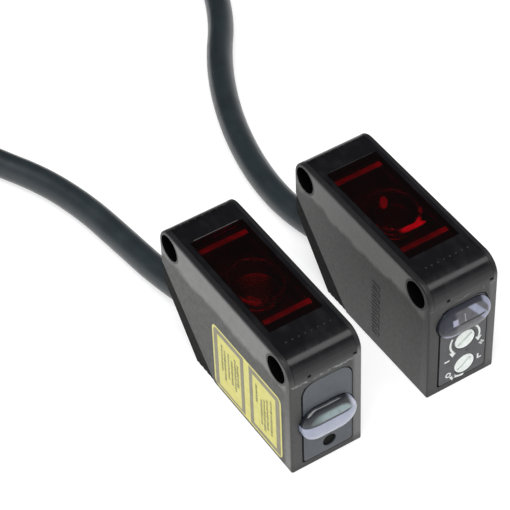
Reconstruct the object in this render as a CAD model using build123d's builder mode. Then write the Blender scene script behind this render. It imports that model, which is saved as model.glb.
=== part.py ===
"""Through-beam photoelectric sensor: an emitter head and a receiver head, each with its own cable.

Both heads lie on their rear covers with the lens face up. +X points from a head's cable end to its
indicator end, +Y from the emitter to the receiver, +Z up out of the lens faces. The origin is under the
middle of the two heads, on the surface that they lie on. Each piece is drawn in its head's own frame, which
starts at the cable end, near side, rear face, and is then moved to its head's place. Millimetres.
"""

import math
import os

from build123d import *

# --- driving dimensions of a head -------------------------------------------------------------------------
LENGTH = 31.0  # along X
WIDTH = 10.8  # along Y
DEPTH = 20.0  # along Z, rear face to lens face
WALL = 0.7  # side walls
END_WALL = 0.8
MIDDLE = WIDTH / 2
HOLE_SPACING = 25.4
HOLE_X = 2.5  # the first hole's centre, from the cable end
HOLE_Z = 17.4
HOLE_R = 1.65  # clears an M3 screw
HOLE_LEAD_IN = 0.3
CORNER_R = 2.8  # lens-side corners
EDGE_R = 0.3
CLOSE = 0.01  # nearer than this counts as the same place
SLANT_TOP = 13.4  # where the rear corner's cut meets the cable end
SLANT_FOOT = 12.5  # where it meets the rear face
SLANT_LIP = 0.6  # of the end wall above it

# lens cover, window and what they rest on
COVER_T = 0.6
COVER_GAP = 0.04  # between the cover and the side walls
COVER_SEAM = 16.9  # lower edge of the cover's two ends
BOSS_R = CORNER_R - COVER_T
NOTCH_PLACES = (2.9, 9.7)
NOTCH_SIZE = 0.5
WINDOW_X = (5.5, 24.3)
WINDOW_Y = (1.5, 9.5)
WINDOW_T = 0.8
WINDOW_LEDGE = 0.3
WINDOW_GAP = 0.05  # round the window, and down to it from the cover's face
RIM_X = (5.2, 25.8)
RIM_Y = (1.0, 9.8)
RIM_T = 1.4
SEAL_T = 0.4
SEAL_W = 0.6

# optics
HOLDER_FLOOR = 9.6
HOLDER_WALL = 0.7
HOLDER_TOP = DEPTH - RIM_T - SEAL_T
LEDGE_PLACES = (6.8, 21.7)  # cross bars just under the window
LEDGE_W = 0.8
LEDGE_ROOT = 1.5  # how far their wider lower part reaches down
LEDGE_TOP = 19.1
LEDGE_GAP = 0.1  # to the opening's edge at each end
LENS_X = 15.0
LENS_R = 3.5
LENS_T = 1.0
LENS_BULGE = 1.2
LENS_SEAT = 15.6
LENS_LIP = 0.4  # the seat's width round the lens
SHELF_T = 0.8
BARREL_R = 4.1
DIODE_STEPS = ((2.8, 0, 0.5), (2.3, 0.5, 3.4))  # the laser diode's radius, from and to, above its board
PHOTODIODE_SIZE = (3.2, 2.8, 1.1)
PHOTODIODE_DOME = (0.9, 0.3)  # radius, height

# boards
MAIN_BOARD = (6.4, 27.2, 8.0)  # x from, x to, z
BOARD_T = 0.8
CHIPS = {  # centre x, centre y, length, width, height below the board
    "emitter": [
        (13.4, 7.6, 1.8, 1.1, 1.0),
        (13.4, 3.2, 1.8, 1.1, 1.0),
        (19.5, 5.4, 4.6, 4.4, 1.1),
        (24.6, 3.6, 1.8, 1.2, 1.0),
        (24.6, 7.2, 1.8, 1.2, 1.0),
    ],
    "receiver": [(13.4, 7.6, 1.8, 1.1, 1.0), (13.4, 3.2, 1.8, 1.1, 1.0), (20.5, 5.4, 5.0, 4.4, 1.1)],
}
SHIELD_X = (16.0, 25.0)
SHIELD_Y = (2.0, 8.8)
SHIELD_H = 2.0
SHIELD_T = 0.25
DISPLAY_BOARD_X = 27.6
DISPLAY_BOARD_Z = (1.2, 14.6)

# end panel, indicator, adjusters
PANEL_Y = (1.6, 9.4)
PANEL_Z = (1.1, 15.8)
PANEL_T = 0.5
PANEL_CORNER_R = 2.0
PANEL_FOOT_R = 0.4
PANEL_GAP = 0.12
PANEL_SIDE_GAP = 0.3  # the wider gap, on the near side
PANEL_SILL = 0.45
INDICATOR_W = 8.3
INDICATOR_H = {"emitter": 5.2, "receiver": 5.0}
INDICATOR_GAP = 0.15
INDICATOR_PROUD = {"emitter": 1.5, "receiver": 1.0}
INDICATOR_EDGE = 0.9  # its front edge's radius, as a share of how far it stands proud
INDICATOR_SEAT = 0.3  # how deep its pocket is
INDICATOR_Z = {"emitter": 8.2, "receiver": 12.9}
GUIDE_W = 5.8
GUIDE_H = 3.0
GUIDE_GAP = 0.1
LED_SIZE = (0.7, 1.6, 0.8)
LED_OFFSET = 1.8  # from the head's middle
PLUG_PLACE = (5.8, 3.05)
PLUG_R = 1.0
SENSITIVITY_PLACE = (5.9, 8.1)
SENSITIVITY_R = 1.6
MODE_PLACE = (6.0, 3.3)
MODE_R = 1.6
KNOB_GAP = 0.09
KNOB_BACK = 30.25
KNOB_EDGE_R = 0.12
KNOB_SLOT = (2.56, 0.5, 0.35)  # length, width, depth
KNOB_SLOT_ANGLE = 35
SHAFT_R = 0.7
SHAFT_LENGTH = 1.2
SHAFT_GAP = 0.05
SWITCH_SIDE = 4.2
SWITCH_T = 1.4
SWITCH_FLOOR = 0.3
KNOB_SEAL_R = 1.3
KNOB_SEAL_T = 0.35
PLUG_RECESS = 0.25

# label on the emitter's near side
LABEL_X = (12.5, 28.8)
LABEL_Z = (0.6, 12.4)
LABEL_T = 0.08
LABEL_R = 1.0

# rear cover and cable entry
REAR_TOP = 9.6  # the cover's outer face runs from here on the cable end
REAR_FOOT = 7.6  # to here on the rear face
REAR_INSET = 0.1
REAR_CHAMFER = 0.2
RIB_COUNT = 5
RIB_GROOVE = 0.4
RIB_LENGTH = 1.2
RIB_HEIGHT = 0.3
REAR_SEAL_T = 0.5
REAR_SEAL_GAP = 0.05
REAR_SEAL_SHORT = 3.2  # by how much it is shorter than the rear corner's cut
CABLE_D = 4.0
CABLE_R = CABLE_D / 2
ENTRY_Z = 3.4
GROMMET_R = 2.7
GROMMET_FLANGE_T = 0.6
GROMMET_PROUD = 0.4
CLAMP_X = (12.4, 13.4)
CLAMP_SIZE = (6.0, 5.2)
CLAMP_FOOT = 1.0
CLAMP_CORNER_R = 0.6
CORE_R = 0.45  # the wires inside, and the route that they take
CORE_PITCH = 1.3
CORE_RISE_X = (14.8, 15.2)
CORE_BEND_R = 1.0
CORE_GAP = 0.1

# where the heads stand in the pair's frame
PAIR_PITCH = 21.65
RECEIVER_SET_BACK = 0.6
MID_X = (LENGTH + INDICATOR_PROUD["emitter"] - RECEIVER_SET_BACK) / 2
MID_Y = (PAIR_PITCH + WIDTH) / 2
PLACES = {
    "emitter": Vector(-MID_X, -MID_Y, 0),
    "receiver": Vector(-MID_X - RECEIVER_SET_BACK, PAIR_PITCH - MID_Y, 0),
}

# cables: each route is in the pair's frame, from inside the grommet to the hank
ROUTES = {
    "emitter": [
        (-2.55, -10.825, 3.4),
        (-12.45, -10.825, 3.4),
        (-22.45, -12.7, 2.3),
        (-31.45, -13.55, 2.0),
        (-40.45, -14.6, 2.0),
        (-48.85, -16.9, 2.0),
        (-56.45, -20.8, 2.0),
        (-64.85, -24.6, 2.0),
        (-74.25, -26.9, 2.0),
        (-83.25, -27.4, 2.0),
        (-91.25, -27.5, 2.0),
        (-98.65, -27.4, 2.0),
    ],
    "receiver": [
        (-3.15, 10.825, 3.4),
        (-13.05, 10.825, 3.4),
        (-23.05, 8.95, 2.3),
        (-31.85, 9.3, 2.0),
        (-40.65, 11.1, 2.0),
        (-49.15, 14.1, 2.0),
        (-57.25, 18.2, 2.0),
        (-64.45, 23.3, 2.0),
        (-72.85, 27.1, 2.0),
        (-82.25, 28.6, 2.0),
        (-90.75, 28.7, 2.0),
        (-98.65, 28.6, 2.0),
    ],
}
ARC_SHARE = 0.45  # of the shorter run beside a corner
HANK_LENGTH = 64.0
HANK_LAYERS = 3
HANK_FOLD_R = 12.0  # middle of the cable, at the hank's ends
HANK_X = -116.45
HANK_Y = {"emitter": -15.4, "receiver": 16.6}
TIE_WIDTH = 6.0
TIE_T = 0.5
TIE_GAP = 0.2
WIRES_SIDE = {"emitter": 1, "receiver": -1}  # the wires lie on the side by the other hank
SHEATH_END = 4.0  # from the hank's middle to where the sheath stops
WIRE_R = 0.55
WIRE_GAP = 0.1
WIRE_LENGTH = 16.0
WIRE_COUNT = {"emitter": 2, "receiver": 3}


def write(name, piece, head):
    """Moves a finished piece to its head's place, labels it and writes its STEP file."""
    placed = piece.part.moved(Location(PLACES[head]))
    placed.label = name
    export_step(placed, f"parts/{name}.step")


def write_in_place(name, piece):
    """Labels and writes a piece that is already drawn in the pair's frame."""
    piece.part.label = name
    export_step(piece.part, f"parts/{name}.step")


def outline(inset=0.0):
    """A head's side profile on Plane.XZ, without its rear corner, drawn this far inside the outer one."""
    with BuildSketch(Plane.XZ) as profile:
        with BuildLine():
            Polyline(
                (SLANT_FOOT, inset),
                (LENGTH - inset, inset),
                (LENGTH - inset, DEPTH - inset),
                (inset, DEPTH - inset),
                (inset, SLANT_TOP),
                close=True,
            )
        make_face()
        fillet(profile.vertices().group_by(Axis.Y)[-1], CORNER_R - inset)
        fillet(profile.vertices().group_by(Axis.Y)[0].sort_by(Axis.X)[-1], EDGE_R)
    return profile.sketch


def hole_places():
    """The two mounting holes' centres on Plane.XZ."""
    return [(HOLE_X, HOLE_Z), (HOLE_X + HOLE_SPACING, HOLE_Z)]


def boss_places():
    """The centres of the bosses round them, which fit inside the lens cover's corners."""
    return [(CORNER_R, DEPTH - CORNER_R), (LENGTH - CORNER_R, DEPTH - CORNER_R)]


def block(x, y, z, mode=Mode.ADD):
    """Adds a box between two values of each of X, Y and Z to the part being built."""
    spans = (x, y, z)
    with Locations(tuple((low + high) / 2 for low, high in spans)):
        Box(*(high - low for low, high in spans), mode=mode)


def cut(x, y, z):
    """Cuts a box between two values of each of X, Y and Z from the part being built."""
    block(x, y, z, mode=Mode.SUBTRACT)


def panel_face(gap_side, gap_rest):
    """The end panel's outline on the end face, made smaller by the gap on its near side and elsewhere."""
    low_y, high_y = PANEL_Y[0] + gap_side, PANEL_Y[1] - gap_rest
    low_z, high_z = PANEL_Z[0] + gap_rest, PANEL_Z[1] - gap_rest
    with BuildSketch(Plane.YZ) as face:
        with Locations(((low_y + high_y) / 2, (low_z + high_z) / 2)):
            Rectangle(high_y - low_y, high_z - low_z)
        fillet(face.vertices().group_by(Axis.Y)[-1], PANEL_CORNER_R)
        fillet(face.vertices().group_by(Axis.Y)[0], PANEL_FOOT_R)
    return face.sketch


def end_plane(x):
    """A plane across the head at this X, whose own axes are Y and Z and whose normal is +X."""
    return Plane(origin=(x, 0, 0), x_dir=(0, 1, 0), z_dir=(1, 0, 0))


def make_case(head):
    with BuildPart() as case:
        add(extrude(outline(), amount=-WIDTH, mode=Mode.PRIVATE))
        sides = case.edges().filter_by(lambda e: e.center().Y < CLOSE or e.center().Y > WIDTH - CLOSE)
        fillet(sides.filter_by(lambda e: not on_slant(e)), EDGE_R * 0.9)
        # the hollow, open to the lens side and at the rear corner
        cut((END_WALL, LENGTH - END_WALL), (WALL, WIDTH - WALL), (END_WALL, DEPTH + 1))
        cut((-1, SLANT_FOOT), (WALL, WIDTH - WALL), (-1, END_WALL))
        cut((-1, END_WALL), (WALL, WIDTH - WALL), (-1, SLANT_TOP - SLANT_LIP))
        # the seat of the lens cover's two ends
        cut((-1, LENGTH + 1), (WALL, WIDTH - WALL), (COVER_SEAM, DEPTH + 1))
        # bosses round the mounting holes
        with BuildSketch(Plane.XZ.offset(-WALL / 2)):
            with Locations(*boss_places()):
                Circle(BOSS_R)
        extrude(amount=-(WIDTH - WALL))
        with BuildSketch(Plane.XZ.offset(1)):
            with Locations(*hole_places()):
                Circle(HOLE_R)
        extrude(amount=-(WIDTH + 2), mode=Mode.SUBTRACT)
        mouths = case.edges().filter_by(GeomType.CIRCLE).filter_by(
            lambda e: abs(e.radius - HOLE_R) < CLOSE and (e.center().Y < CLOSE or e.center().Y > WIDTH - CLOSE))
        chamfer(mouths, HOLE_LEAD_IN)
        # the end panel's recess, the opening behind it and the indicator's pocket
        extrude(panel_face(0, 0).moved(Location((LENGTH - PANEL_T, 0, 0))), amount=1, mode=Mode.SUBTRACT)
        cut((LENGTH - END_WALL - 0.1, LENGTH), (PANEL_Y[0] + PANEL_SILL, PANEL_Y[1] - PANEL_SILL),
            (PANEL_Z[0] + PANEL_SILL, PANEL_Z[1] - PANEL_SILL))
        with BuildSketch(end_plane(LENGTH - INDICATOR_SEAT)):
            with Locations((MIDDLE, INDICATOR_Z[head])):
                SlotOverall(INDICATOR_W + 2 * INDICATOR_GAP, INDICATOR_H[head] + 2 * INDICATOR_GAP)
        extrude(amount=1, mode=Mode.SUBTRACT)
        if head == "emitter":
            with BuildSketch(Plane.XZ):
                label_face()
            extrude(amount=-LABEL_T, mode=Mode.SUBTRACT)
    return case


def on_slant(edge):
    """Whether an edge of the plain case lies on the rear corner's cut."""
    middle = edge.center()
    return abs(middle.X / SLANT_FOOT + middle.Z / SLANT_TOP - 1) < CLOSE


def label_face():
    """Adds the label's outline to a sketch on Plane.XZ."""
    width, height = LABEL_X[1] - LABEL_X[0], LABEL_Z[1] - LABEL_Z[0]
    with Locations(((LABEL_X[0] + LABEL_X[1]) / 2, (LABEL_Z[0] + LABEL_Z[1]) / 2)):
        RectangleRounded(width, height, LABEL_R)


def make_lens_cover():
    low, high = WALL + COVER_GAP, WIDTH - WALL - COVER_GAP
    with BuildPart() as cover:
        add(extrude(outline(), amount=-high, mode=Mode.PRIVATE))
        add(extrude(outline(COVER_T), amount=-WIDTH, mode=Mode.PRIVATE), mode=Mode.SUBTRACT)
        cut((-1, LENGTH + 1), (-1, low), (-1, DEPTH + 1))
        cut((-1, LENGTH + 1), (-1, WIDTH + 1), (-1, COVER_SEAM))
        # the thicker rim that carries the window
        block(RIM_X, RIM_Y, (DEPTH - RIM_T, DEPTH - COVER_T / 2))
        cut(WINDOW_X, WINDOW_Y, (DEPTH - WINDOW_T, DEPTH + 1))
        cut((WINDOW_X[0] + WINDOW_LEDGE, WINDOW_X[1] - WINDOW_LEDGE),
            (WINDOW_Y[0] + WINDOW_LEDGE, WINDOW_Y[1] - WINDOW_LEDGE), (0, DEPTH))
        # two release notches in the seam at the indicator end
        for place in NOTCH_PLACES:
            cut((LENGTH - COVER_T - 0.1, LENGTH + 1), (place - NOTCH_SIZE / 2, place + NOTCH_SIZE / 2),
                (COVER_SEAM - 1, COVER_SEAM + NOTCH_SIZE))
    return cover


def make_window():
    with BuildPart() as window:
        block((WINDOW_X[0] + WINDOW_GAP, WINDOW_X[1] - WINDOW_GAP),
              (WINDOW_Y[0] + WINDOW_GAP, WINDOW_Y[1] - WINDOW_GAP), (DEPTH - WINDOW_T, DEPTH - WINDOW_GAP))
        fillet(window.edges().filter_by(Axis.Z), EDGE_R / 2)
    return window


def make_cover_seal():
    with BuildPart() as seal:
        block(RIM_X, RIM_Y, (HOLDER_TOP, HOLDER_TOP + SEAL_T))
        cut((RIM_X[0] + SEAL_W, RIM_X[1] - SEAL_W), (RIM_Y[0] + SEAL_W, RIM_Y[1] - SEAL_W),
            (HOLDER_TOP - 1, DEPTH))
    return seal


def make_lens_holder():
    inner_x = (RIM_X[0] + HOLDER_WALL, RIM_X[1] - HOLDER_WALL)
    inner_y = (RIM_Y[0] + HOLDER_WALL, RIM_Y[1] - HOLDER_WALL)
    with BuildPart() as holder:
        block(RIM_X, RIM_Y, (HOLDER_FLOOR, HOLDER_TOP))
        cut(inner_x, inner_y, (LENS_SEAT, DEPTH))
        cut(inner_x, inner_y, (HOLDER_FLOOR + SHELF_T, LENS_SEAT - SHELF_T))
        # the barrel between the two floors, the bore for the light and the lens's seat
        with BuildSketch(Plane.XY.offset(HOLDER_FLOOR)):
            with Locations((LENS_X, MIDDLE)):
                Circle(BARREL_R)
        extrude(amount=LENS_SEAT - HOLDER_FLOOR)
        with BuildSketch(Plane.XY.offset(HOLDER_FLOOR - 1)):
            with Locations((LENS_X, MIDDLE)):
                Circle(LENS_R - LENS_LIP)
        extrude(amount=DEPTH, mode=Mode.SUBTRACT)
        # cross bars just under the window
        for place in LEDGE_PLACES:
            x = (place, place + LEDGE_W)
            root = (HOLDER_TOP - LEDGE_ROOT, HOLDER_TOP)
            block(x, (RIM_Y[0] + HOLDER_WALL / 2, RIM_Y[1] - HOLDER_WALL / 2), root)
            block(x, (WINDOW_Y[0] + WINDOW_LEDGE + LEDGE_GAP, WINDOW_Y[1] - WINDOW_LEDGE - LEDGE_GAP),
                  (HOLDER_TOP - LEDGE_ROOT, LEDGE_TOP))
    return holder


def make_lens():
    """A plano-convex lens, turned about its own axis."""
    with BuildPart() as lens:
        with BuildSketch(Plane.XZ.offset(-MIDDLE)):
            with BuildLine():
                foot, rim, top = LENS_SEAT, LENS_SEAT + LENS_T, LENS_SEAT + LENS_T + LENS_BULGE
                Polyline((LENS_X, top), (LENS_X, foot), (LENS_X + LENS_R, foot), (LENS_X + LENS_R, rim))
                sphere_r = (LENS_R**2 + LENS_BULGE**2) / (2 * LENS_BULGE)
                half = math.asin(LENS_R / sphere_r) / 2
                knee = (LENS_X + sphere_r * math.sin(half), top - sphere_r * (1 - math.cos(half)))
                ThreePointArc((LENS_X + LENS_R, rim), knee, (LENS_X, top))
            make_face()
        revolve(axis=Axis((LENS_X, MIDDLE, 0), (0, 0, 1)))
    return lens


def make_laser_diode():
    board_top = MAIN_BOARD[2] + BOARD_T
    with BuildPart() as diode:
        for radius, low, high in DIODE_STEPS:
            with BuildSketch(Plane.XY.offset(board_top + low)):
                with Locations((LENS_X, MIDDLE)):
                    Circle(radius)
            extrude(amount=high - low)
    return diode


def make_photodiode():
    board_top = MAIN_BOARD[2] + BOARD_T
    length, width, height = PHOTODIODE_SIZE
    radius, rise = PHOTODIODE_DOME
    with BuildPart() as diode:
        block((LENS_X - length / 2, LENS_X + length / 2), (MIDDLE - width / 2, MIDDLE + width / 2),
              (board_top, board_top + height))
        with BuildSketch(Plane.XY.offset(board_top + height)):
            with Locations((LENS_X, MIDDLE)):
                Circle(radius)
        extrude(amount=rise)
    return diode


def make_shield():
    """A folded metal can over the amplifier, under the receiver's board."""
    top = MAIN_BOARD[2]
    with BuildPart() as shield:
        block(SHIELD_X, SHIELD_Y, (top - SHIELD_H, top))
        cut((SHIELD_X[0] + SHIELD_T, SHIELD_X[1] - SHIELD_T), (SHIELD_Y[0] + SHIELD_T, SHIELD_Y[1] - SHIELD_T),
            (top - SHIELD_H + SHIELD_T, top + 1))
    return shield


def make_main_board():
    with BuildPart() as board:
        block(MAIN_BOARD[:2], (RIM_Y[0], RIM_Y[1]), (MAIN_BOARD[2], MAIN_BOARD[2] + BOARD_T))
    return board


def make_components(head):
    """The chips and capacitors on the main board's underside."""
    with BuildPart() as parts:
        for x, y, length, width, height in CHIPS[head]:
            block((x - length / 2, x + length / 2), (y - width / 2, y + width / 2),
                  (MAIN_BOARD[2] - height, MAIN_BOARD[2]))
    return parts


def make_display_board():
    with BuildPart() as board:
        block((DISPLAY_BOARD_X, DISPLAY_BOARD_X + BOARD_T), RIM_Y, DISPLAY_BOARD_Z)
    return board


def make_indicator_leds(head):
    front = DISPLAY_BOARD_X + BOARD_T
    with BuildPart() as leds:
        for y in (MIDDLE - LED_OFFSET, MIDDLE + LED_OFFSET):
            block((front, front + LED_SIZE[0]), (y - LED_SIZE[1] / 2, y + LED_SIZE[1] / 2),
                  (INDICATOR_Z[head] - LED_SIZE[2] / 2, INDICATOR_Z[head] + LED_SIZE[2] / 2))
    return leds


def make_indicator_lens(head):
    """The clear lens over the indicators, with the light guide behind it."""
    proud = INDICATOR_PROUD[head]
    guide_back = DISPLAY_BOARD_X + BOARD_T + LED_SIZE[0] + GUIDE_GAP
    with BuildPart() as lens:
        with BuildSketch(end_plane(LENGTH - INDICATOR_SEAT)):
            with Locations((MIDDLE, INDICATOR_Z[head])):
                SlotOverall(INDICATOR_W, INDICATOR_H[head])
        extrude(amount=INDICATOR_SEAT + proud)
        fillet(lens.edges().group_by(Axis.X)[-1], INDICATOR_EDGE * proud)
        with BuildSketch(end_plane(guide_back)):
            with Locations((MIDDLE, INDICATOR_Z[head])):
                SlotOverall(GUIDE_W, GUIDE_H)
        extrude(amount=LENGTH - INDICATOR_SEAT - guide_back)
    return lens


def make_display_panel(head):
    with BuildPart() as panel:
        add(extrude(panel_face(PANEL_SIDE_GAP, PANEL_GAP).moved(Location((LENGTH - PANEL_T, 0, 0))),
                    amount=PANEL_T, mode=Mode.PRIVATE))
        with BuildSketch(end_plane(LENGTH - INDICATOR_SEAT)):
            with Locations((MIDDLE, INDICATOR_Z[head])):
                SlotOverall(INDICATOR_W + 2 * INDICATOR_GAP, INDICATOR_H[head] + 2 * INDICATOR_GAP)
        extrude(amount=1, mode=Mode.SUBTRACT)
        with BuildSketch(end_plane(LENGTH - PANEL_T)):
            with Locations((MIDDLE, INDICATOR_Z[head])):
                SlotOverall(GUIDE_W, GUIDE_H)
            if head == "emitter":
                with Locations(PLUG_PLACE):
                    Circle(PLUG_R)
            else:
                with Locations(SENSITIVITY_PLACE):
                    Circle(SENSITIVITY_R + KNOB_GAP)
                with Locations(MODE_PLACE):
                    Circle(MODE_R + KNOB_GAP)
        extrude(amount=1, mode=Mode.SUBTRACT)
    return panel


def make_access_plug():
    with BuildPart() as plug:
        with BuildSketch(end_plane(LENGTH - PANEL_T)):
            with Locations(PLUG_PLACE):
                Circle(PLUG_R)
        extrude(amount=PANEL_T - PLUG_RECESS)
    return plug


def make_knob(place, radius):
    """An adjuster: a round head with a driver slot, and a shaft that turns in the switch behind it."""
    with BuildPart() as knob:
        with BuildSketch(end_plane(KNOB_BACK)):
            with Locations(place):
                Circle(radius)
        extrude(amount=LENGTH - KNOB_BACK)
        with BuildSketch(end_plane(KNOB_BACK - SHAFT_LENGTH)):
            with Locations(place):
                Circle(SHAFT_R)
        extrude(amount=SHAFT_LENGTH)
        length, width, depth = KNOB_SLOT
        with BuildSketch(end_plane(LENGTH - depth)):
            with Locations(place):
                Rectangle(length, width, rotation=KNOB_SLOT_ANGLE)
        extrude(amount=1, mode=Mode.SUBTRACT)
        fillet(knob.edges().filter_by(GeomType.CIRCLE).group_by(Axis.X)[-1], KNOB_EDGE_R)
    return knob


def make_rotary_switch(place):
    """The square body behind an adjuster, with the bore that its shaft turns in."""
    front = DISPLAY_BOARD_X + BOARD_T
    with BuildPart() as switch:
        with BuildSketch(end_plane(front)):
            with Locations(place):
                Rectangle(SWITCH_SIDE, SWITCH_SIDE)
        extrude(amount=SWITCH_T)
        with BuildSketch(end_plane(front + SWITCH_FLOOR)):
            with Locations(place):
                Circle(SHAFT_R + SHAFT_GAP)
        extrude(amount=SWITCH_T, mode=Mode.SUBTRACT)
    return switch


def make_knob_seals():
    """The two flat rings that keep dust out round the adjusters' shafts."""
    back = DISPLAY_BOARD_X + BOARD_T + SWITCH_T
    with BuildPart() as seals:
        for place in (SENSITIVITY_PLACE, MODE_PLACE):
            with BuildSketch(end_plane(back)):
                with Locations(place):
                    Circle(KNOB_SEAL_R)
                    Circle(SHAFT_R + SHAFT_GAP, mode=Mode.SUBTRACT)
            extrude(amount=KNOB_SEAL_T)
    return seals


def make_label():
    with BuildPart() as label:
        with BuildSketch(Plane.XZ):
            label_face()
        extrude(amount=-LABEL_T)
    return label


def make_rear_cover():
    """The wedge that closes the rear corner, bored for the cable's grommet."""
    with BuildPart() as cover:
        with BuildSketch(Plane.XZ.offset(-REAR_INSET)):
            with BuildLine():
                Polyline((0, SLANT_TOP), (0, REAR_TOP), (REAR_FOOT, 0), (SLANT_FOOT, 0), close=True)
            make_face()
        extrude(amount=-(WIDTH - 2 * REAR_INSET))
        outer = cover.edges().filter_by(lambda e: (e.center().Y < 1 or e.center().Y > WIDTH - 1)
                                        and not on_slant(e))
        chamfer(outer, REAR_CHAMFER)
        with BuildSketch(end_plane(0)):
            with Locations((MIDDLE, ENTRY_Z)):
                Circle(GROMMET_R)
        extrude(amount=SLANT_FOOT, mode=Mode.SUBTRACT)
        # grip grooves across the foot
        pitch = (SLANT_FOOT - REAR_FOOT) / RIB_COUNT
        for i in range(RIB_COUNT):
            x = REAR_FOOT + pitch * (i + 0.5)
            for y in ((-1, RIB_LENGTH), (WIDTH - RIB_LENGTH, WIDTH + 1)):
                cut((x - RIB_GROOVE / 2, x + RIB_GROOVE / 2), y, (-1, RIB_HEIGHT))
    return cover


def slant_plane(distance):
    """The rear corner's cut, moved this far into the head; its normal points inward."""
    normal = Vector(SLANT_TOP, 0, SLANT_FOOT).normalized()
    return Plane(origin=Vector(SLANT_FOOT, MIDDLE, 0) + normal * distance, x_dir=(0, 1, 0), z_dir=normal)


def make_rear_seal():
    """The gasket behind the rear cover."""
    span = math.hypot(SLANT_TOP, SLANT_FOOT)
    with BuildPart() as seal:
        with BuildSketch(slant_plane(0)):
            with Locations((0, span / 2)):
                Rectangle(WIDTH - 2 * WALL - 2 * REAR_SEAL_GAP, span - REAR_SEAL_SHORT)
        extrude(amount=REAR_SEAL_T)
        with BuildSketch(end_plane(0)):
            with Locations((MIDDLE, ENTRY_Z)):
                Circle(GROMMET_R)
        extrude(amount=LENGTH, mode=Mode.SUBTRACT)
    return seal


def make_cable_grommet():
    """The sleeve round the cable, cut off along the rear cover's outer face."""
    flange_x = CLAMP_X[0] - GROMMET_FLANGE_T
    with BuildPart() as grommet:
        with BuildSketch(end_plane(0)):
            with Locations((MIDDLE, ENTRY_Z)):
                Circle(GROMMET_R)
        extrude(amount=flange_x)
        with BuildSketch(end_plane(flange_x)):
            with Locations((MIDDLE, ENTRY_Z)):
                Circle(GROMMET_R)
        extrude(amount=GROMMET_FLANGE_T)
        face = Vector(-REAR_TOP, 0, -REAR_FOOT).normalized()
        origin = Vector(REAR_FOOT, MIDDLE, 0) + face * GROMMET_PROUD
        split(bisect_by=Plane(origin=origin, x_dir=(0, 1, 0), z_dir=face), keep=Keep.BOTTOM)
        with BuildSketch(end_plane(-1)):
            with Locations((MIDDLE, ENTRY_Z)):
                Circle(CABLE_R)
        extrude(amount=LENGTH, mode=Mode.SUBTRACT)
    return grommet


def make_cable_clamp():
    """The plate inside that grips the cable's sheath."""
    with BuildPart() as clamp:
        with BuildSketch(end_plane(CLAMP_X[0])):
            with Locations((MIDDLE, CLAMP_FOOT + CLAMP_SIZE[1] / 2)):
                RectangleRounded(*CLAMP_SIZE, CLAMP_CORNER_R)
            with Locations((MIDDLE, ENTRY_Z)):
                Circle(CABLE_R, mode=Mode.SUBTRACT)
        extrude(amount=CLAMP_X[1] - CLAMP_X[0])
    return clamp


def corner_radii(points):
    """An arc for each corner of a route, as large as its two runs allow, and the turn that it makes."""
    radii, turns = [], []
    for before, here, after in zip(points, points[1:], points[2:]):
        run_in, run_out = Vector(*here) - Vector(*before), Vector(*after) - Vector(*here)
        turn = run_in.get_angle(run_out)
        shorter = min(run_in.length, run_out.length)
        radii.append(ARC_SHARE * shorter / math.tan(math.radians(turn) / 2))
        turns.append(turn)
    return radii, turns


def make_cable(head):
    route = ROUTES[head]
    radii, turns = corner_radii(route)
    start = Plane(origin=route[0], z_dir=Vector(*route[1]) - Vector(*route[0]))
    with BuildPart() as cable:
        with BuildLine() as path:
            FilletPolyline(*route, radius=radii)
        with BuildSketch(start):
            Circle(CABLE_R)
        sweep(path=path.line)
    length = sum(edge.length for edge in path.edges())
    ideal = math.pi * CABLE_R**2 * length
    print(f"{head}_cable: {length:.1f} mm, radii {[round(r) for r in radii]},"
          f" turns {[round(t) for t in turns]}, volume / ideal {cable.part.volume / ideal:.4f}")
    return cable


def make_hank(head):
    """The outer shape of the cable's three loops, folded flat and tied."""
    height = HANK_LAYERS * CABLE_D
    x, y = HANK_X, HANK_Y[head]
    side = HANK_FOLD_R + CABLE_R
    with BuildPart() as hank:
        with BuildSketch():
            with Locations((x, y)):
                SlotOverall(HANK_LENGTH, 2 * side)
        extrude(amount=height)
        # the open middle, and the notches that the tie lies in
        with BuildSketch():
            with Locations((x, y)):
                SlotOverall(HANK_LENGTH - 4 * CABLE_R, 2 * (HANK_FOLD_R - CABLE_R))
        extrude(amount=height, mode=Mode.SUBTRACT)
        half = TIE_WIDTH / 2 + TIE_GAP
        cut((x - half, x + half), (y - side - 1, y + side + 1), (-1, TIE_T))
        cut((x - half, x + half), (y - side - 1, y + side + 1), (height - TIE_T, height + 1))
        cut((x - half, x + half), (y - side - 1, y - side + TIE_T), (-1, height + 1))
        cut((x - half, x + half), (y + side - TIE_T, y + side + 1), (-1, height + 1))
        # the last loop stops short here, and the bare wires lie in its place
        start = x + SHEATH_END
        inner, outer = (y + WIRES_SIDE[head] * reach for reach in (HANK_FOLD_R - CABLE_D, side + 1))
        cut((start, start + WIRE_LENGTH + WIRE_R), sorted((inner, outer)), (height - CABLE_D, height + 1))
    return hank


def make_hank_tie(head):
    """The strap round the middle of the hank."""
    height = HANK_LAYERS * CABLE_D
    x, y, side = HANK_X, HANK_Y[head], HANK_FOLD_R + CABLE_R
    half = TIE_WIDTH / 2
    with BuildPart() as tie:
        block((x - half, x + half), (y - side, y + side), (0, height))
        cut((x - half - 1, x + half + 1), (y - side + TIE_T, y + side - TIE_T), (TIE_T, height - TIE_T))
    return tie


def make_bare_wires(head):
    """The cable's insulated wires, bared of the sheath, side by side on the loop below."""
    x = HANK_X + SHEATH_END
    z = (HANK_LAYERS - 1) * CABLE_D + WIRE_R
    count = WIRE_COUNT[head]
    with BuildPart() as wires:
        for i in range(count):
            y = HANK_Y[head] + WIRES_SIDE[head] * HANK_FOLD_R + (i - (count - 1) / 2) * (2 * WIRE_R + WIRE_GAP)
            with BuildSketch(end_plane(x)):
                with Locations((y, z)):
                    Circle(WIRE_R)
            extrude(amount=WIRE_LENGTH)
    return wires


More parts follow.
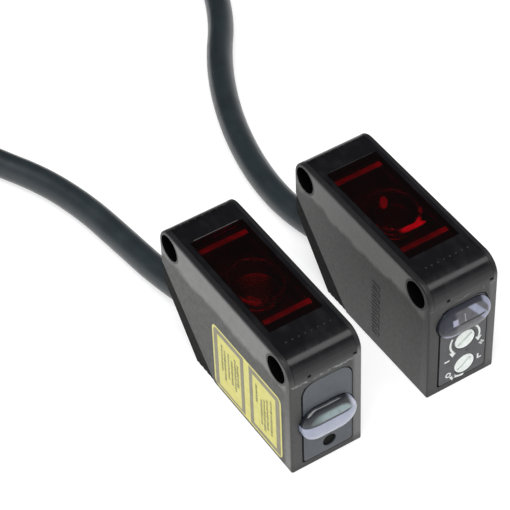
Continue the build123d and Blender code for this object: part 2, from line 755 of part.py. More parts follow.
def make_core_wires(head):
    """The wires inside the head, from the clamp up to the main board."""
    count = WIRE_COUNT[head]
    with BuildPart() as wires:
        for i in range(count):
            y = MIDDLE + (i - (count - 1) / 2) * CORE_PITCH
            start, knee = (CLAMP_X[1], y, ENTRY_Z), (CORE_RISE_X[0], y, ENTRY_Z)
            top = (CORE_RISE_X[1], y, MAIN_BOARD[2] - CORE_GAP)
            with BuildLine() as path:
                FilletPolyline(start, knee, top, radius=CORE_BEND_R)
            with BuildSketch(Plane(origin=start, z_dir=(1, 0, 0))):
                Circle(CORE_R)
            sweep(path=path.line)
    return wires


os.makedirs("parts", exist_ok=True)
for head in ("emitter", "receiver"):
    pieces = {
        "case": make_case(head),
        "lens_cover": make_lens_cover(),
        "window": make_window(),
        "cover_seal": make_cover_seal(),
        "lens_holder": make_lens_holder(),
        "lens": make_lens(),
        "main_board": make_main_board(),
        "board_components": make_components(head),
        "display_board": make_display_board(),
        "indicator_leds": make_indicator_leds(head),
        "indicator_lens": make_indicator_lens(head),
        "display_panel": make_display_panel(head),
        "rear_cover": make_rear_cover(),
        "rear_seal": make_rear_seal(),
        "cable_grommet": make_cable_grommet(),
        "cable_clamp": make_cable_clamp(),
        "core_wires": make_core_wires(head),
    }
    if head == "emitter":
        pieces["laser_diode"] = make_laser_diode()
        pieces["access_plug"] = make_access_plug()
        pieces["label"] = make_label()
    else:
        pieces["photodiode"] = make_photodiode()
        pieces["shield"] = make_shield()
        pieces["sensitivity_knob"] = make_knob(SENSITIVITY_PLACE, SENSITIVITY_R)
        pieces["mode_knob"] = make_knob(MODE_PLACE, MODE_R)
        pieces["sensitivity_trimmer"] = make_rotary_switch(SENSITIVITY_PLACE)
        pieces["mode_switch"] = make_rotary_switch(MODE_PLACE)
        pieces["knob_seals"] = make_knob_seals()
    for name, piece in pieces.items():
        write(f"{head}_{name}", piece, head)
    write_in_place(f"{head}_cable", make_cable(head))
    write_in_place(f"{head}_cable_hank", make_hank(head))
    write_in_place(f"{head}_hank_tie", make_hank_tie(head))
    write_in_place(f"{head}_bare_wires", make_bare_wires(head))
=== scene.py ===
"""Looks of a through-beam photoelectric sensor pair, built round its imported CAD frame. Metres.

Places on a head are given in that head's own frame in millimetres, as its case has them: x from the cable end
to the indicator end, y from the near side, z from the rear face to the lens face.
"""

import math
import random

import bmesh
import bpy
from mathutils import Matrix, Vector


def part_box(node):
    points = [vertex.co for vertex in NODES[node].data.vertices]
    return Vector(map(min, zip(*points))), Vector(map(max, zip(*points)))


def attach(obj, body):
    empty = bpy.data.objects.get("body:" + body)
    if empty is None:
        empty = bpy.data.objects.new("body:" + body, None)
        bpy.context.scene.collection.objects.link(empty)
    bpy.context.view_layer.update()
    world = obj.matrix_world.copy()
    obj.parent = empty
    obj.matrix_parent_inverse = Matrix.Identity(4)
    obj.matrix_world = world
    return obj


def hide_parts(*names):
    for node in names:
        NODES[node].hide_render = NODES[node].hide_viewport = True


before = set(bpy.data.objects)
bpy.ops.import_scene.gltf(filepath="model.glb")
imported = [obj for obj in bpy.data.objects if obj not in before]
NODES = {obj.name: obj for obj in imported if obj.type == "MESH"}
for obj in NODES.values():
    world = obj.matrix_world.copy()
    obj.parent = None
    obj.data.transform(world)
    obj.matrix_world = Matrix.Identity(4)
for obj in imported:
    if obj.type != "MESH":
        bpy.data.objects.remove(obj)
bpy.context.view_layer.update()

MM = 0.001
HEADS = ("emitter", "receiver")
CORNER = {head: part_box(f"{head}_case")[0] for head in HEADS}

# --- camera ------------------------------------------------------------------------------------------------
CAMERA_AZIMUTH = math.radians(-31.06)
CAMERA_HEIGHT = math.radians(45.71)
CAMERA_ROLL = math.radians(-2.44)
CAMERA_DISTANCE = 0.3031
CAMERA_TARGET = Vector((-0.01232, -0.003905, 0.010))
CAMERA_LENS = 159.27
SENSOR = 36.0

# --- sizes on a head, in millimetres -----------------------------------------------------------------------
LENGTH, WIDTH, DEPTH = 31.0, 10.8, 20.0
CABLE_RADIUS = 2.0
HOLES_X = (2.5, 27.9)
HOLES_Z = 17.4
HOLE_MOUTH = 1.95
CORNER_RADIUS = 2.8
INDICATOR_Z = {"emitter": 8.2, "receiver": 12.9}
INDICATOR_SIZE = {"emitter": (8.3, 5.2, 1.5), "receiver": (8.3, 5.0, 1.0)}
INDICATOR_SEAT = 0.3
CREST = {"emitter": 0.7, "receiver": -0.2}
LENS_PLACE = (15.0, 5.4)
RING_RADIUS = 4.0
RING_NARROWING = 0.8875
RING_Z = 18.5
SENSITIVITY = (5.9, 8.1)
MODE = (6.0, 3.3)
PRINT_THICKNESS = 0.02
SHEEN_FOOT, SHEEN_TOP = 14.5, 15.7
EDGE_HIGHLIGHT_SHARE = {"emitter": 1.0, "receiver": 0.3}
END_SHADE = {"emitter": 0.0, "receiver": 0.4}
WEAR_SHARE = {"emitter": 0.7, "receiver": 0.25}
CASE_GLOSS, COVER_GLOSS = 0.35, 0.42

# --- cables: the route's points, in millimetres in the row frame, as in the CAD ----------------------------
ROUTES = {
    "emitter": [
        (-2.55, -10.825, 3.4),
        (-12.45, -10.825, 3.4),
        (-22.45, -12.7, 2.3),
        (-31.45, -13.55, 2.0),
        (-40.45, -14.6, 2.0),
        (-48.85, -16.9, 2.0),
        (-56.45, -20.8, 2.0),
        (-64.85, -24.6, 2.0),
        (-74.25, -26.9, 2.0),
        (-83.25, -27.4, 2.0),
        (-91.25, -27.5, 2.0),
        (-98.65, -27.4, 2.0),
    ],
    "receiver": [
        (-3.15, 10.825, 3.4),
        (-13.05, 10.825, 3.4),
        (-23.05, 8.95, 2.3),
        (-31.85, 9.3, 2.0),
        (-40.65, 11.1, 2.0),
        (-49.15, 14.1, 2.0),
        (-57.25, 18.2, 2.0),
        (-64.45, 23.3, 2.0),
        (-72.85, 27.1, 2.0),
        (-82.25, 28.6, 2.0),
        (-90.75, 28.7, 2.0),
        (-98.65, 28.6, 2.0),
    ],
}
HANK_X = -116.45
HANK_Y = {"emitter": -15.4, "receiver": 16.6}
NEAR_SIDE = {"emitter": -1, "receiver": 1}
FOLD_RADIUS = 12.0
FOLD_STEPS = 4
HALF_RUN = 18.0
LAYERS = 3
TIE_LIFT = 0.5
TIE_PULL = 0.6
TIE_WIDTH = 6.0
SHEATH_END = 4.0
WIRE_COLOURS = {"emitter": ("brown", "blue"), "receiver": ("brown", "black", "blue")}


def at(head, x, y, z):
    """A place on a head, in the row frame in metres."""
    return CORNER[head] + Vector((x, y, z)) * MM


# --- materials ---------------------------------------------------------------------------------------------
class Surface:
    """A material under construction: one Principled shader and the nodes that feed it."""

    def __init__(self, name, colour, roughness, **sockets):
        self.material = bpy.data.materials.new(name)
        self.material.use_nodes = True
        self.tree = self.material.node_tree
        self.shader = self.tree.nodes["Principled BSDF"]
        self.shader.inputs["Base Color"].default_value = (*colour, 1)
        self.shader.inputs["Roughness"].default_value = roughness
        for socket, value in sockets.items():
            self.shader.inputs[socket.replace("_", " ")].default_value = value
        self.place = self.node("ShaderNodeTexCoord").outputs["Object"]

    def node(self, kind, **settings):
        made = self.tree.nodes.new(kind)
        for name, value in settings.items():
            setattr(made, name, value)
        return made

    def link(self, source, target):
        self.tree.links.new(source, target)

    def noise(self, size, detail=3.0, stretch=(1, 1, 1)):
        """A noise whose lumps are about this many millimetres across."""
        scaled = self.node("ShaderNodeMapping")
        scaled.inputs["Scale"].default_value = stretch
        self.link(self.place, scaled.inputs["Vector"])
        noise = self.node("ShaderNodeTexNoise")
        noise.inputs["Scale"].default_value = 1 / (size * MM)
        noise.inputs["Detail"].default_value = detail
        self.link(scaled.outputs["Vector"], noise.inputs["Vector"])
        return noise.outputs["Fac"]

    def ramp(self, factor, low, high, start=0.0, end=1.0, smooth=False):
        """factor's stretch from low to high, mapped to start to end and held there outside it."""
        mapped = self.node("ShaderNodeMapRange")
        if smooth:
            mapped.interpolation_type = "SMOOTHSTEP"
        for name, value in (("From Min", low), ("From Max", high), ("To Min", start), ("To Max", end)):
            mapped.inputs[name].default_value = value
        self.link(factor, mapped.inputs["Value"])
        return mapped.outputs["Result"]

    def math(self, operation, first, second):
        made = self.node("ShaderNodeMath", operation=operation)
        for i, value in enumerate((first, second)):
            if isinstance(value, (int, float)):
                made.inputs[i].default_value = value
            else:
                self.link(value, made.inputs[i])
        return made.outputs[0]

    def axis(self, head, name):
        """The place along one of a head's own axes, in millimetres."""
        split = self.node("ShaderNodeSeparateXYZ")
        self.link(self.place, split.inputs[0])
        start = getattr(CORNER[head], name.lower())
        return self.math("MULTIPLY", self.math("SUBTRACT", split.outputs[name], start), 1 / MM)

    def distance(self, first, second):
        """How far a place with these two coordinates is from 0, 0."""
        square = self.math("ADD", self.math("POWER", first, 2), self.math("POWER", second, 2))
        return self.math("POWER", square, 0.5)

    def from_point(self, first, second, point):
        return self.distance(self.math("SUBTRACT", first, point[0]), self.math("SUBTRACT", second, point[1]))

    def from_middle(self, head):
        """Distance on the end face from the line along the indicator's middle, in millimetres."""
        reach = (INDICATOR_SIZE[head][0] - INDICATOR_SIZE[head][1]) / 2
        across = self.math("ABSOLUTE", self.math("SUBTRACT", self.axis(head, "Y"), WIDTH / 2), 0)
        beyond = self.math("MAXIMUM", self.math("SUBTRACT", across, reach), 0)
        return self.distance(beyond, self.math("SUBTRACT", self.axis(head, "Z"), INDICATOR_Z[head]))

    def inside(self, value, low, high, soft):
        """1 where value is between low and high, fading to 0 over soft beyond them."""
        rise = self.ramp(value, low - soft, low, smooth=True)
        fall = self.ramp(value, high, high + soft, 1, 0, smooth=True)
        return self.math("MULTIPLY", rise, fall)

    def blend(self, factor, first, second):
        """A colour from first at 0 to second at 1; each is a colour or a node's output."""
        mix = self.node("ShaderNodeMix", data_type="RGBA")
        for i, value in ((6, first), (7, second)):
            if isinstance(value, tuple):
                mix.inputs[i].default_value = (*value, 1)
            else:
                self.link(value, mix.inputs[i])
        self.link(factor, mix.inputs[0])
        return mix.outputs[2]

    def colour(self, source):
        self.link(source, self.shader.inputs["Base Color"])
        return self

    def rough(self, source):
        self.link(source, self.shader.inputs["Roughness"])
        return self

    def gloss(self, source):
        self.link(source, self.shader.inputs["Specular IOR Level"])
        return self

    def bump(self, height, strength, distance):
        """Bump whose full height is this many millimetres."""
        bump = self.node("ShaderNodeBump")
        bump.inputs["Strength"].default_value = strength
        bump.inputs["Distance"].default_value = distance * MM
        self.link(height, bump.inputs["Height"])
        self.link(bump.outputs["Normal"], self.shader.inputs["Normal"])
        return self


def case_plastic(head):
    """Fine-grained black moulding with a painted sheen high on its sides by the lens face, a painted
    highlight on the indicator end's edges, painted shade towards the receiver's indicator end and at the
    end's foot, darker at the rim, and painted shade in the holes.
    """
    s = Surface(f"{head}_case_plastic", (0.04, 0.04, 0.04), 0.4)
    x, y, z = (s.axis(head, name) for name in "XYZ")
    # painted sheen: paler above a wavy line near the lens face, standing in for the floor's reflection
    sheen_wander = s.math("MULTIPLY", s.math("SUBTRACT", s.noise(3.5), 0.5), 2.6)
    band = s.ramp(s.math("ADD", z, sheen_wander), SHEEN_FOOT, SHEEN_TOP, smooth=True)
    band = s.math("MULTIPLY", band, s.ramp(x, 29.6, 30.3, 1, 0))
    plain = s.blend(s.noise(1.3), (0.032, 0.032, 0.031), (0.044, 0.044, 0.042))
    colour = s.blend(band, plain, s.blend(s.noise(2.2, 4), (0.135, 0.135, 0.132), (0.18, 0.18, 0.176)))
    # painted highlight: paler along the edges at the indicator end, more so towards the foot, stronger on the
    # emitter
    edge_highlight = s.math("MULTIPLY", s.ramp(x, 29.1, 29.8), s.ramp(x, 30.8, 30.6))
    edge_highlight = s.math("MULTIPLY", edge_highlight, s.ramp(z, 15.5, 2.0, 0.1, EDGE_HIGHLIGHT_SHARE[head]))
    edge_highlight = s.math("MAXIMUM", edge_highlight, s.math("MULTIPLY", s.ramp(y, 9.3, 9.8), s.ramp(x, 30.7, 30.9, 0, 0.8)))
    colour = s.blend(edge_highlight, colour, (0.14, 0.14, 0.138))
    colour = s.blend(s.ramp(x, 24, 30, 0, END_SHADE[head]), colour, (0.012, 0.012, 0.012))
    # painted shade: darker at the foot of the indicator end, next to the floor
    foot = s.math("MULTIPLY", s.ramp(z, 1.9, 0.7, 0, 0.55), s.ramp(x, 30.2, 30.8))
    colour = s.blend(foot, colour, (0.012, 0.012, 0.012))
    # light wear under the cover's seam
    wear = s.math("MULTIPLY", s.inside(z, 16.3, 16.6, 0.12), s.ramp(x, 30.7, 30.9))
    wear = s.math("MULTIPLY", wear, s.ramp(s.noise(0.7, 4, (1, 1, 3)), 0.5, 0.6, 0, WEAR_SHARE[head]))
    colour = s.blend(wear, colour, (0.26, 0.27, 0.28))
    # the rim beside the lens cover
    past_end = s.math("MAXIMUM", s.math("SUBTRACT", CORNER_RADIUS, x),
                      s.math("SUBTRACT", x, LENGTH - CORNER_RADIUS))
    above = s.math("MAXIMUM", s.math("SUBTRACT", z, DEPTH - CORNER_RADIUS), 0)
    rim = s.ramp(s.distance(s.math("MAXIMUM", past_end, 0), above), 1.9, 2.6, smooth=True)
    rim = s.math("MULTIPLY", rim, s.ramp(z, 17.3, 18.2))
    colour = s.blend(rim, colour, (0.010, 0.010, 0.011))
    # a darker ring round the mounting holes, and painted shade inside them, which also lose their gloss
    nearest = s.math("MINIMUM", *(s.from_point(x, z, (place, HOLES_Z)) for place in HOLES_X))
    ring = s.inside(nearest, HOLE_MOUTH + 0.12, HOLE_MOUTH + 0.25, 0.12)
    colour = s.blend(ring, colour, (0.02, 0.02, 0.02))
    hole_shade = s.ramp(nearest, HOLE_MOUTH - 0.02, HOLE_MOUTH + 0.06, 1, 0)
    s.colour(s.blend(hole_shade, colour, (0.002, 0.002, 0.002)))
    s.rough(s.math("MAXIMUM", s.ramp(s.noise(0.5, 4), 0.3, 0.7, 0.40, 0.52), s.math("MULTIPLY", hole_shade, 0.9)))
    s.gloss(s.ramp(hole_shade, 0, 1, CASE_GLOSS, 0))
    return s.bump(s.noise(0.09, 2), 0.3, 0.02).material


def cover_plastic(head):
    """Polished black moulding with faint handling marks, duller round its cable end."""
    s = Surface(f"{head}_cover_plastic", (0.006, 0.006, 0.007), 0.16)
    marks = s.noise(2.6, 5, (1, 2, 1))
    s.colour(s.blend(s.ramp(marks, 0.45, 0.8), (0.005, 0.005, 0.006), (0.011, 0.011, 0.012)))
    s.rough(s.ramp(marks, 0.3, 0.8, 0.18, 0.28))
    s.gloss(s.ramp(s.axis(head, "X"), 0.8, 3.0, 0.08, COVER_GLOSS))
    return s.bump(s.noise(0.3, 2), 0.06, 0.01).material


def red_filter():
    """Deep red transparent plastic that also lets the studio's light through to what is behind it."""
    s = Surface("red_filter", (0.5, 0.004, 0.05), 0.02, Transmission_Weight=1.0, IOR=1.49)
    path = s.node("ShaderNodeLightPath")
    clear = s.node("ShaderNodeBsdfTransparent")
    clear.inputs["Color"].default_value = (0.6, 0.012, 0.14, 1)
    mix = s.node("ShaderNodeMixShader")
    s.rough(s.ramp(s.noise(2.0), 0.3, 0.7, 0.01, 0.05))
    s.link(path.outputs["Is Shadow Ray"], mix.inputs[0])
    s.link(s.shader.outputs[0], mix.inputs[1])
    s.link(clear.outputs[0], mix.inputs[2])
    s.link(mix.outputs[0], s.tree.nodes["Material Output"].inputs["Surface"])
    return s.material


def holder_plastic(head, bar_colour):
    """Dark moulding whose two cross bars under the window are pale."""
    s = Surface(f"{head}_holder_plastic", (0.02, 0.02, 0.02), 0.4)
    bars = s.ramp(s.axis(head, "Z"), 18.9, 19.0)
    bright = s.math("MAXIMUM", s.ramp(s.noise(1.6), 0.45, 0.7, 0, 0.7), s.ramp(s.axis(head, "Y"), 7.2, 8.4))
    pale = s.blend(bright, tuple(0.45 * c for c in bar_colour), bar_colour)
    s.colour(s.blend(bars, (0.006, 0.006, 0.006), pale))
    return s.bump(s.noise(0.2), 0.2, 0.02).material


def clear_glass(name, tint):
    s = Surface(name, tint, 0.02, Transmission_Weight=1.0, IOR=1.5)
    return s.rough(s.ramp(s.noise(1.0), 0.3, 0.7, 0.01, 0.04)).material


def panel_plastic(name, low, high):
    s = Surface(name, low, 0.4)
    s.colour(s.blend(s.ramp(s.noise(2.0, 4), 0.35, 0.7), low, high))
    s.rough(s.ramp(s.noise(0.6), 0.3, 0.7, 0.33, 0.45))
    return s.bump(s.noise(0.08, 2), 0.25, 0.015).material


def grained(name, low, high, size, rough=(0.4, 0.55), grain=0.3, **sockets):
    """A plain moulded or rubbery surface with small changes of colour and a fine grain."""
    s = Surface(name, low, rough[0], **sockets)
    s.colour(s.blend(s.ramp(s.noise(size, 4), 0.3, 0.7), low, high))
    s.rough(s.ramp(s.noise(size / 2), 0.3, 0.7, *rough))
    return s.bump(s.noise(size / 8, 3), grain, 0.03).material


def cable_pvc():
    """Dark blue-grey PVC with a satin skin and faint length-wise marks."""
    s = Surface("cable_pvc", (0.014, 0.019, 0.022), 0.3)
    s.colour(s.blend(s.ramp(s.noise(5, 3), 0.35, 0.7), (0.015, 0.021, 0.025), (0.023, 0.031, 0.036)))
    s.rough(s.ramp(s.noise(1.5, 4), 0.3, 0.7, 0.27, 0.38))
    return s.bump(s.noise(0.5, 5), 0.25, 0.03).material


def strap_weave():
    """Black woven hook-and-loop strap."""
    s = Surface("strap_weave", (0.02, 0.02, 0.022), 0.85, Sheen_Weight=0.4)
    waves = []
    for direction, pitch in (("X", 0.5), ("Y", 0.65)):
        wave = s.node("ShaderNodeTexWave", bands_direction=direction)
        wave.inputs["Scale"].default_value = 1 / (pitch * MM) / 20
        wave.inputs["Distortion"].default_value = 0.3
        s.link(s.place, wave.inputs["Vector"])
        waves.append(wave.outputs["Fac"])
    weave = s.math("MULTIPLY", *waves)
    s.colour(s.blend(s.ramp(s.noise(0.4), 0.3, 0.7), (0.014, 0.014, 0.016), (0.04, 0.04, 0.043)))
    return s.bump(weave, 0.6, 0.08).material


def circuit_board():
    s = Surface("circuit_board", (0.01, 0.09, 0.03), 0.35)
    s.colour(s.blend(s.ramp(s.noise(0.8, 5), 0.52, 0.56), (0.008, 0.075, 0.028), (0.012, 0.13, 0.045)))
    return s.bump(s.ramp(s.noise(0.8, 5), 0.52, 0.56), 0.2, 0.03).material


def metal(name, colour, rough=(0.25, 0.4)):
    s = Surface(name, colour, rough[0], Metallic=1.0)
    s.rough(s.ramp(s.noise(0.5, 5, (1, 6, 1)), 0.3, 0.7, *rough))
    return s.bump(s.noise(0.3, 4), 0.15, 0.01).material


def printed(name, low, high, rough=(0.3, 0.42)):
    """Ink or printed film, a little uneven."""
    s = Surface(name, low, rough[0])
    s.colour(s.blend(s.ramp(s.noise(0.9, 5), 0.3, 0.7), low, high))
    s.rough(s.ramp(s.noise(1.2), 0.3, 0.7, *rough))
    return s.bump(s.noise(0.25, 3), 0.1, 0.01).material


def emitter_indicator_plastic():
    """Clear moulding: lilac below its crest, grey-green above, with painted shade in its crease, a painted
    shadow from its pocket along its upper edge, and lilac painted light piped round its right end.
    """
    s = Surface("emitter_indicator_plastic", (0.4, 0.42, 0.5), 0.15, Coat_Weight=0.5, Coat_Roughness=0.06)
    across = s.axis("emitter", "Y")
    height = s.math("SUBTRACT", s.axis("emitter", "Z"), INDICATOR_Z["emitter"] + CREST["emitter"])
    edge = INDICATOR_SIZE["emitter"][1] / 2
    # edge ring: a painted shadow from the pocket along the upper edge, and painted light piped through the
    # right end
    ring = s.ramp(s.from_middle("emitter"), edge - 1.0, edge - 0.55, smooth=True)
    facet = s.blend(s.ramp(across, 1.8, 5.0, smooth=True), (0.02, 0.03, 0.028), (0.19, 0.25, 0.26))
    facet = s.blend(s.ramp(s.noise(0.9, 4), 0.45, 0.7, 0, 0.5), facet, (0.08, 0.11, 0.11))
    rim = s.blend(s.ramp(across, 8.1, 9.0, smooth=True), (0.012, 0.014, 0.018), (0.4, 0.42, 0.52))
    upper = s.blend(ring, facet, rim)
    lilac = s.blend(s.noise(1.2), (0.22, 0.245, 0.33), (0.31, 0.33, 0.43))
    body = s.blend(s.ramp(height, -0.12, 0.12), lilac, upper)
    # painted shade in the crease
    crease_shade = s.math("MULTIPLY", s.inside(height, -0.05, 0.15, 0.12), s.ramp(across, 8.6, 7.9))
    s.colour(s.blend(crease_shade, body, (0.015, 0.02, 0.03)))
    return s.bump(s.noise(0.8), 0.1, 0.03).material


def receiver_indicator_plastic():
    """Clear moulding over two indicators: dark left, a pale square, a grey middle, lilac round its ends;
    round its edge a painted shadow from its recess, with lilac painted light piped through at its right end
    and lower left, and painted shade in its crease.
    """
    s = Surface("receiver_indicator_plastic", (0.2, 0.2, 0.26), 0.2, Coat_Weight=0.1, Specular_IOR_Level=0.3)
    across = s.axis("receiver", "Y")
    height = s.math("SUBTRACT", s.axis("receiver", "Z"), INDICATOR_Z["receiver"] + CREST["receiver"])
    edge = INDICATOR_SIZE["receiver"][1] / 2
    dark = s.blend(s.noise(1.0), (0.008, 0.010, 0.020), (0.026, 0.03, 0.046))
    grey = s.blend(s.noise(0.7), (0.045, 0.045, 0.052), (0.11, 0.11, 0.12))
    lilac = s.blend(s.noise(0.8), (0.17, 0.185, 0.265), (0.3, 0.32, 0.41))
    body = s.blend(s.ramp(across, 3.4, 4.2, smooth=True), dark, grey)
    slope = s.math("ADD", across, s.math("MULTIPLY", height, 0.8))
    body = s.blend(s.inside(slope, 7.6, 8.4, 0.4), body, lilac)
    square = s.math("MULTIPLY", s.inside(across, 3.3, 3.9, 0.2), s.inside(height, 0.2, 1.0, 0.2))
    body = s.blend(square, body, (0.3, 0.31, 0.4))
    mark = s.math("MULTIPLY", s.inside(across, 5.1, 5.16, 0.1), s.inside(height, 0.0, 1.3, 0.2))
    body = s.blend(mark, body, (0.25, 0.25, 0.27))
    # painted shade in the crease
    crease_shade = s.math("MULTIPLY", s.inside(height, -0.1, 0.1, 0.15), s.inside(across, 4.6, 8.0, 0.6))
    body = s.blend(crease_shade, body, (0.008, 0.009, 0.014))
    # edge ring: a painted shadow from the recess, with painted light piped through at the right end and lower
    # left
    ring = s.ramp(s.from_middle("receiver"), edge - 0.8, edge - 0.5, smooth=True)
    left_foot = s.math("MULTIPLY", s.ramp(across, 4.9, 4.2, 0, 0.8), s.ramp(height, -0.9, -1.5))
    pale = s.math("MAXIMUM", left_foot, s.ramp(across, 7.9, 8.5))
    s.colour(s.blend(ring, body, s.blend(pale, (0.014, 0.016, 0.024), lilac)))
    return s.bump(s.noise(0.7), 0.12, 0.03).material


def lens_ring_plastic_and_glints(head, highlight_level, places):
    """Near-black ring round the lens, with painted highlights near these places, each with how far its
    highlight reaches.
    """
    s = Surface(f"{head}_lens_ring_plastic_and_glints", (0.012, 0.012, 0.012), 0.3)
    x, y = s.axis(head, "X"), s.axis(head, "Y")
    # the pale places are painted highlights, reflections in the lens barrel
    pale = 0.0
    for point, reach, share in places:
        near = s.ramp(s.from_point(x, y, point), reach * 0.6, reach, share, 0, smooth=True)
        pale = s.math("MAXIMUM", near, pale)
    s.colour(s.blend(pale, (0.012, 0.012, 0.012), (highlight_level, highlight_level, highlight_level)))
    return s.rough(s.ramp(s.noise(0.6), 0.3, 0.7, 0.22, 0.35)).material


# --- geometry helpers --------------------------------------------------------------------------------------
def finish_piece(name, mesh, material, body, smooth=True):
    """A new object of this mesh, riding on a body."""
    mesh.materials.append(material)
    piece = bpy.data.objects.new(name, mesh)
    bpy.context.scene.collection.objects.link(piece)
    if smooth:
        mesh.shade_smooth()
        mesh.set_sharp_from_angle(angle=math.radians(35))
    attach(piece, body)
    return piece


def from_bmesh(name, bm, material, body, smooth=True):
    bmesh.ops.recalc_face_normals(bm, faces=bm.faces[:])
    mesh = bpy.data.meshes.new(name)
    bm.to_mesh(mesh)
    bm.free()
    return finish_piece(name, mesh, material, body, smooth)


def prism(bm, outline, offset):
    """Adds the closed solid between an outline of points and the same outline moved by offset."""
    low = [bm.verts.new(p) for p in outline]
    high = [bm.verts.new(Vector(p) + offset) for p in outline]
    bm.faces.new(low)
    bm.faces.new(high[::-1])
    for i in range(len(low)):
        j = (i + 1) % len(low)
        bm.faces.new((low[i], low[j], high[j], high[i]))


def frame_prism(bm, outer, inner, offset):
    """Adds the closed solid between two outlines that have the same number of points."""
    loops = [[bm.verts.new(Vector(p) + shift) for p in points]
             for points, shift in ((outer, Vector()), (inner, Vector()), (inner, offset), (outer, offset))]
    for a, b in zip(loops, loops[1:] + loops[:1]):
        for i in range(len(a)):
            j = (i + 1) % len(a)
            bm.faces.new((a[i], a[j], b[j], b[i]))


def rounded(x, z, radii, steps=5):
    """Points round a rectangle from x[0], z[0] to x[1], z[1]; radii go from the low corner, anticlockwise."""
    corners = [(x[0], z[0], 180), (x[1], z[0], 270), (x[1], z[1], 0), (x[0], z[1], 90)]
    points = []
    for (cx, cz, start), r in zip(corners, radii):
        mx = cx + (r if cx == x[0] else -r)
        mz = cz + (r if cz == z[0] else -r)
        for i in range(steps + 1):
            angle = math.radians(start + 90 * i / steps)
            points.append((mx + r * math.cos(angle), mz + r * math.sin(angle)))
    return points


def on_side(head, points, y=0.0):
    """Points of a head's near side, from x and z."""
    return [at(head, x, y, z) for x, z in points]


def on_end(head, points, x=LENGTH):
    """Points of a head's indicator end, from y and z."""
    return [at(head, x, y, z) for y, z in points]


def arc(centre, radius, start, end, steps=14):
    """Points of an arc in a plane, from start to end degrees."""
    return [(centre[0] + radius * math.cos(math.radians(start + (end - start) * i / steps)),
             centre[1] + radius * math.sin(math.radians(start + (end - start) * i / steps)))
            for i in range(steps + 1)]


def band(centre, radius, width, start, end):
    """The outline of a curved stroke."""
    return arc(centre, radius + width / 2, start, end) + arc(centre, radius - width / 2, end, start)


# --- stage, light and camera -------------------------------------------------------------------------------
FLOOR_HALF, FLOOR_THICKNESS = 6, 0.01  # metres


def make_stage():
    s = Surface("floor_paper", (0.5, 0.5, 0.5), 0.9, Emission_Color=(1, 1, 1, 1), Emission_Strength=0.6)
    s.colour(s.blend(s.noise(40), (0.49, 0.49, 0.49), (0.52, 0.52, 0.52)))
    bm = bmesh.new()
    corners = [Vector((x * FLOOR_HALF, y * FLOOR_HALF, 0)) for x, y in ((-1, -1), (1, -1), (1, 1), (-1, 1))]
    prism(bm, corners, Vector((0, 0, -FLOOR_THICKNESS)))
    mesh = bpy.data.meshes.new("floor")
    bm.to_mesh(mesh)
    bm.free()
    mesh.materials.append(s.material)
    floor = bpy.data.objects.new("floor", mesh)
    bpy.context.scene.collection.objects.link(floor)


def make_light(name, place, aim, size, power):
    light = bpy.data.lights.new(name, "AREA")
    light.shape = "RECTANGLE"
    light.size, light.size_y = size
    light.energy = power
    lamp = bpy.data.objects.new(name, light)
    lamp.location = place
    lamp.rotation_euler = (Vector(aim) - Vector(place)).to_track_quat("-Z", "Y").to_euler()
    bpy.context.scene.collection.objects.link(lamp)


def make_world():
    """A pale horizon, darker overhead and behind the cable ends, as in a tent that is open there."""
    world = bpy.data.worlds.new("studio")
    bpy.context.scene.world = world
    world.use_nodes = True
    tree = world.node_tree
    background = tree.nodes["Background"]
    direction = tree.nodes.new("ShaderNodeTexCoord")
    split = tree.nodes.new("ShaderNodeSeparateXYZ")
    ramp = tree.nodes.new("ShaderNodeValToRGB")
    behind = tree.nodes.new("ShaderNodeMapRange")
    for name, value in (("From Min", -0.85), ("From Max", -0.25), ("To Min", 0.04), ("To Max", 1.0)):
        behind.inputs[name].default_value = value
    tree.links.new(direction.outputs["Generated"], split.inputs[0])
    tree.links.new(split.outputs["Z"], ramp.inputs[0])
    tree.links.new(split.outputs["X"], behind.inputs["Value"])
    tree.links.new(ramp.outputs[0], background.inputs["Color"])
    tree.links.new(behind.outputs["Result"], background.inputs["Strength"])
    ramp.color_ramp.elements[0].color = (0.9, 0.9, 0.9, 1)
    ramp.color_ramp.elements[1].color = (0.3, 0.3, 0.3, 1)
    for place, level in ((0.25, 0.8), (0.5, 0.3), (0.7, 0.1)):
        ramp.color_ramp.elements.new(place).color = (level, level, level * 1.02, 1)


def make_camera():
    back = Vector((math.cos(CAMERA_HEIGHT) * math.cos(CAMERA_AZIMUTH),
                   math.cos(CAMERA_HEIGHT) * math.sin(CAMERA_AZIMUTH), math.sin(CAMERA_HEIGHT)))
    right = (-back).cross(Vector((0, 0, 1))).normalized()
    up = back.cross(right)
    level = Matrix((right, up, back)).transposed()
    data = bpy.data.cameras.new("camera")
    data.lens, data.sensor_width, data.clip_start = CAMERA_LENS, SENSOR, 0.01
    camera = bpy.data.objects.new("camera", data)
    turned = level.to_4x4() @ Matrix.Rotation(CAMERA_ROLL, 4, "Z")
    camera.matrix_world = Matrix.Translation(CAMERA_TARGET + back * CAMERA_DISTANCE) @ turned
    bpy.context.scene.collection.objects.link(camera)
    bpy.context.scene.camera = camera


